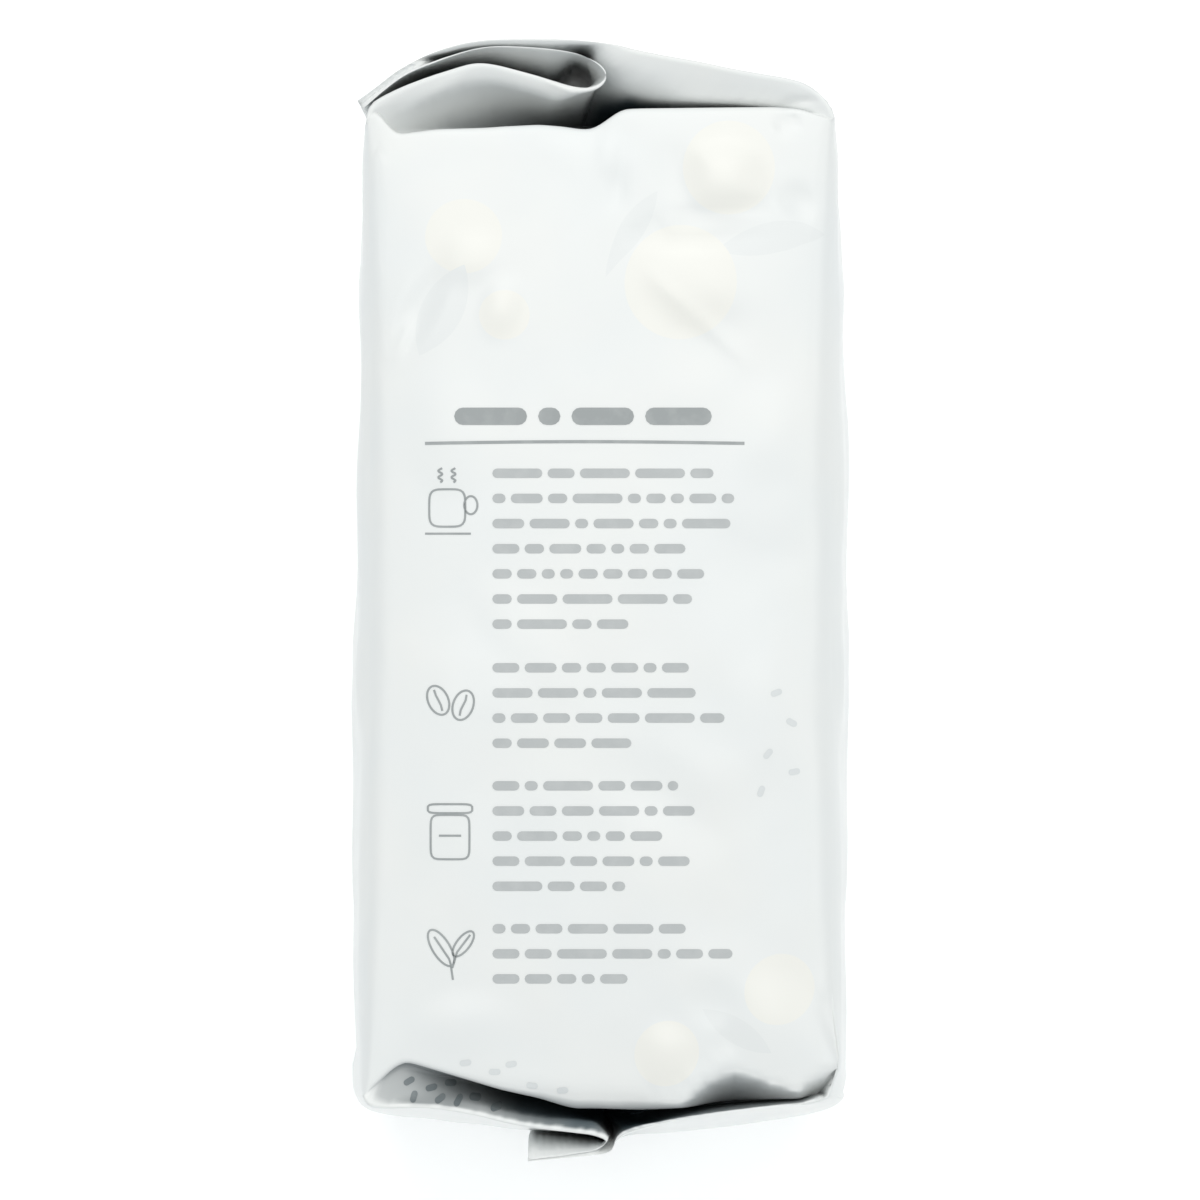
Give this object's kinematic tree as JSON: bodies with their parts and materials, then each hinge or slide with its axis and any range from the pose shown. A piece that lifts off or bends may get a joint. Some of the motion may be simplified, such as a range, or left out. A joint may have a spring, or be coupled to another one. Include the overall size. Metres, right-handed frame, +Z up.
{
  "type": "coffee bag",
  "caption": "Full side-gusset coffee bag of white film lying on one gusset side, ends closed like gables with both seal flaps folded left, and small grey print on the side that shows.",
  "frame": {"origin": "centre of the bounding box, on the flat underside the bag lies on", "axes": "+X across the gusset side, towards the side's right as the print reads; +Y up the bag, from its bottom seal to its top seal; +Z up, from the table to the gusset side that shows"},
  "size_m": [0.074, 0.1646, 0.0919],
  "materials": {
    "film": "semi-gloss white laminated film"
  },
  "bodies": {
    "root": {"bag": "film"}
  },
  "joints": []
}
